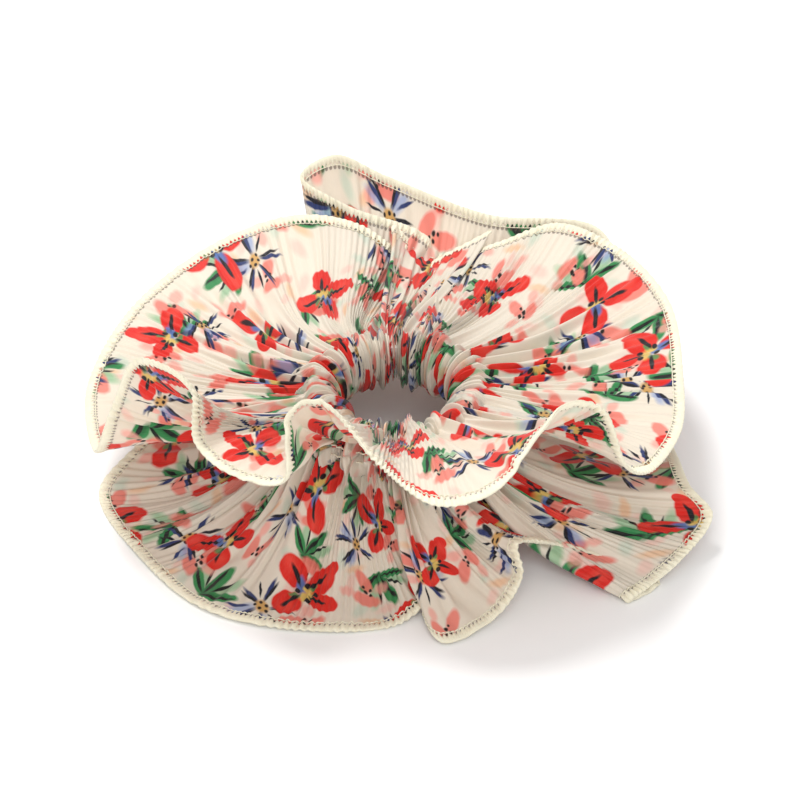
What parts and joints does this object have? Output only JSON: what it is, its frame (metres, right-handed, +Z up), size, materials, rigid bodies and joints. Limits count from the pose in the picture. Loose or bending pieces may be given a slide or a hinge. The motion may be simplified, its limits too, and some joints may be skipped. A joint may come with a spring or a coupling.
{
  "type": "ruffled scrunchie",
  "caption": "Oversized hair scrunchie: a finely pleated floral strip gathered on an elastic loop, with an upper and a lower frill and overlocked hems.",
  "frame": {"origin": "middle of the outline on the surface that the scrunchie lies on", "axes": "+Z up along the axis of the hair opening, +X to the wearer's right as it lies, front of the frills towards -Y"},
  "size_m": [0.1614, 0.1541, 0.0582],
  "materials": {
    "printed_pleated_chiffon": "finely pleated chiffon, satin sheen, cream ground with red, salmon, navy and green painted flowers",
    "cream_thread": "matte spun polyester thread",
    "white_elastic": "knitted flat elastic"
  },
  "bodies": {
    "root": {"casing_seam_bobbin_thread": "cream_thread", "casing_seam_needle_thread": "cream_thread", "casing_tube": "printed_pleated_chiffon", "elastic_band": "white_elastic", "elastic_lap_end": "white_elastic", "elastic_lap_stitching": "cream_thread", "lower_end_seam_allowance": "printed_pleated_chiffon", "lower_frill": "printed_pleated_chiffon", "lower_hem_lower_looper_thread": "cream_thread", "lower_hem_needle_thread": "cream_thread", "lower_hem_upper_looper_thread": "cream_thread", "upper_end_seam_allowance": "printed_pleated_chiffon", "upper_frill": "printed_pleated_chiffon", "upper_hem_lower_looper_thread": "cream_thread", "upper_hem_needle_thread": "cream_thread", "upper_hem_upper_looper_thread": "cream_thread"}
  },
  "joints": []
}
